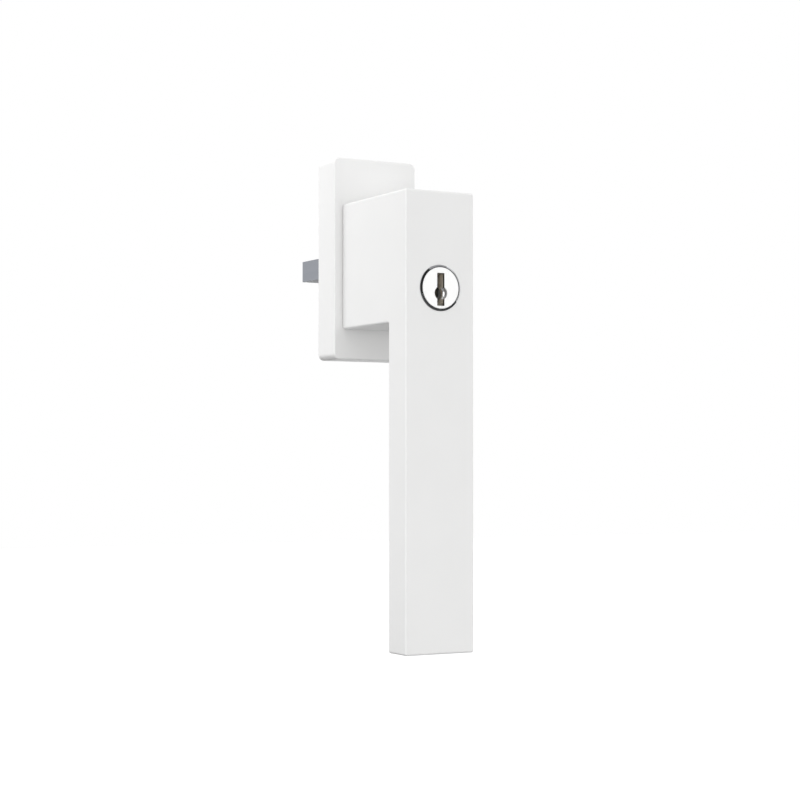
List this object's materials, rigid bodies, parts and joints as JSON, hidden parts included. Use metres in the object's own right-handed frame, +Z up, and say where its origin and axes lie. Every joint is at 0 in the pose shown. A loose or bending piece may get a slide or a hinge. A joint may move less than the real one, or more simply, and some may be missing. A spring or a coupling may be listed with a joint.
{
  "type": "lockable window handle",
  "caption": "White L-shaped window handle: narrow rosette, square spindle, and a key lock in the neck whose barrel cam throws a bolt into the rosette.",
  "frame": {"origin": "on the spindle's axis at the sash face, halfway between the two screw holes", "axes": "+Y into the sash along the spindle, +Z up, opposite to the hanging lever; the front faces -Y"},
  "size_m": [0.03, 0.0896, 0.1573],
  "materials": {
    "white_paint": "satin powder coat",
    "white_cap": "gloss paint",
    "cast_metal": "as cast",
    "chrome": "polished",
    "zinc_steel": "zinc plated",
    "spring_steel": "phosphated",
    "brass": "machined",
    "nylon": "moulded"
  },
  "bodies": {
    "rosette": {"base_plate": "cast_metal", "rosette_cover": "white_paint", "bearing_bush": "nylon", "glide_washer": "nylon", "detent_spring_left": "spring_steel", "detent_spring_right": "spring_steel"},
    "lever": {"lever_handle": "white_paint", "spindle": "zinc_steel", "spindle_pin": "spring_steel", "detent_cam": "zinc_steel", "retaining_washer": "zinc_steel", "circlip": "spring_steel", "lock_housing": "chrome", "housing_grub_screw": "spring_steel"},
    "lock_plug": {"plug": "brass", "plug_face_cap": "white_cap", "plug_retainer": "spring_steel", "cam_sleeve": "brass"},
    "upper_wafers": {"wafers_upper": "brass"},
    "lower_wafers": {"wafers_lower": "brass"},
    "bolt": {"locking_bolt": "zinc_steel", "follower_pin": "spring_steel"}
  },
  "joints": [
    {"name": "lever_turn", "type": "hinge", "parent": "rosette", "child": "lever", "pos_m": [0, 0, 0], "axis": [0, 1, 0], "range_deg": [0, 180], "deforming": ["detent_spring_left", "detent_spring_right"]},
    {"name": "key_turn", "type": "hinge", "parent": "lever", "child": "lock_plug", "pos_m": [0, -0.0533, -0.0125], "axis": [0, 1, 0], "range_deg": [0, 90]},
    {"name": "bolt_slide", "type": "slide", "parent": "lever", "child": "bolt", "axis": [0, 1, 0], "range_m": [0, 0.006]},
    {"name": "wafers_up", "type": "slide", "parent": "lock_plug", "child": "upper_wafers", "axis": [0, 0, 1], "range_m": [0, 0.0007]},
    {"name": "wafers_down", "type": "slide", "parent": "lock_plug", "child": "lower_wafers", "axis": [0, 0, -1], "range_m": [0, 0.0007]}
  ],
  "couplings": [
    {"joint": "key_turn", "follows": "bolt_slide", "rad_per_m": 261.79},
    {"joint": "wafers_down", "follows": "wafers_up", "ratio": 1}
  ]
}
